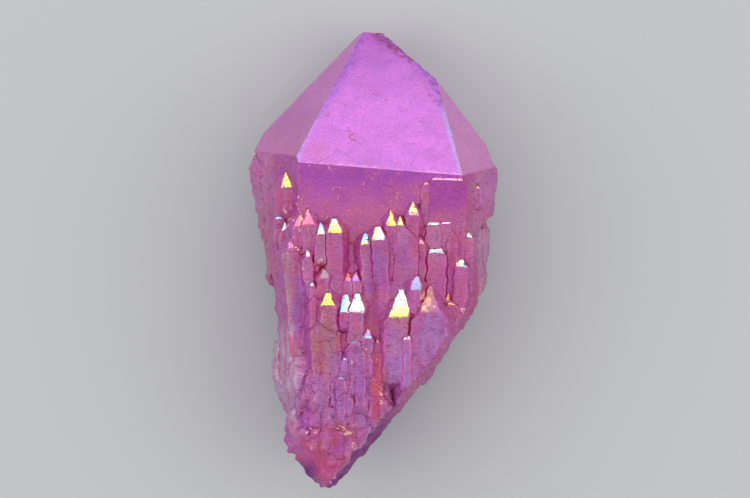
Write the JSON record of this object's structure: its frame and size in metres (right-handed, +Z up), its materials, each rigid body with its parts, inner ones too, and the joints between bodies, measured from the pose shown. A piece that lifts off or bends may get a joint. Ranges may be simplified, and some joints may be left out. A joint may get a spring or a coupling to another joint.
{
  "type": "aura quartz crystal specimen",
  "caption": "Candle quartz point: a large hexagonal crystal with a crust of small parallel crystals, coated in a metallic violet-rose film and broken off at its root.",
  "frame": {"origin": "middle of the bounding box's underside, on the surface that the crystal lies on", "axes": "+Y along the crystal's long axis towards its tip, +Z up and out of the front face, +X to the right of someone who looks down on it with the tip away from them"},
  "size_m": [0.0414, 0.076, 0.0283],
  "materials": {
    "aura_coated_quartz": "satin"
  },
  "bodies": {
    "root": {"quartz_crystal": "aura_coated_quartz"}
  },
  "joints": []
}
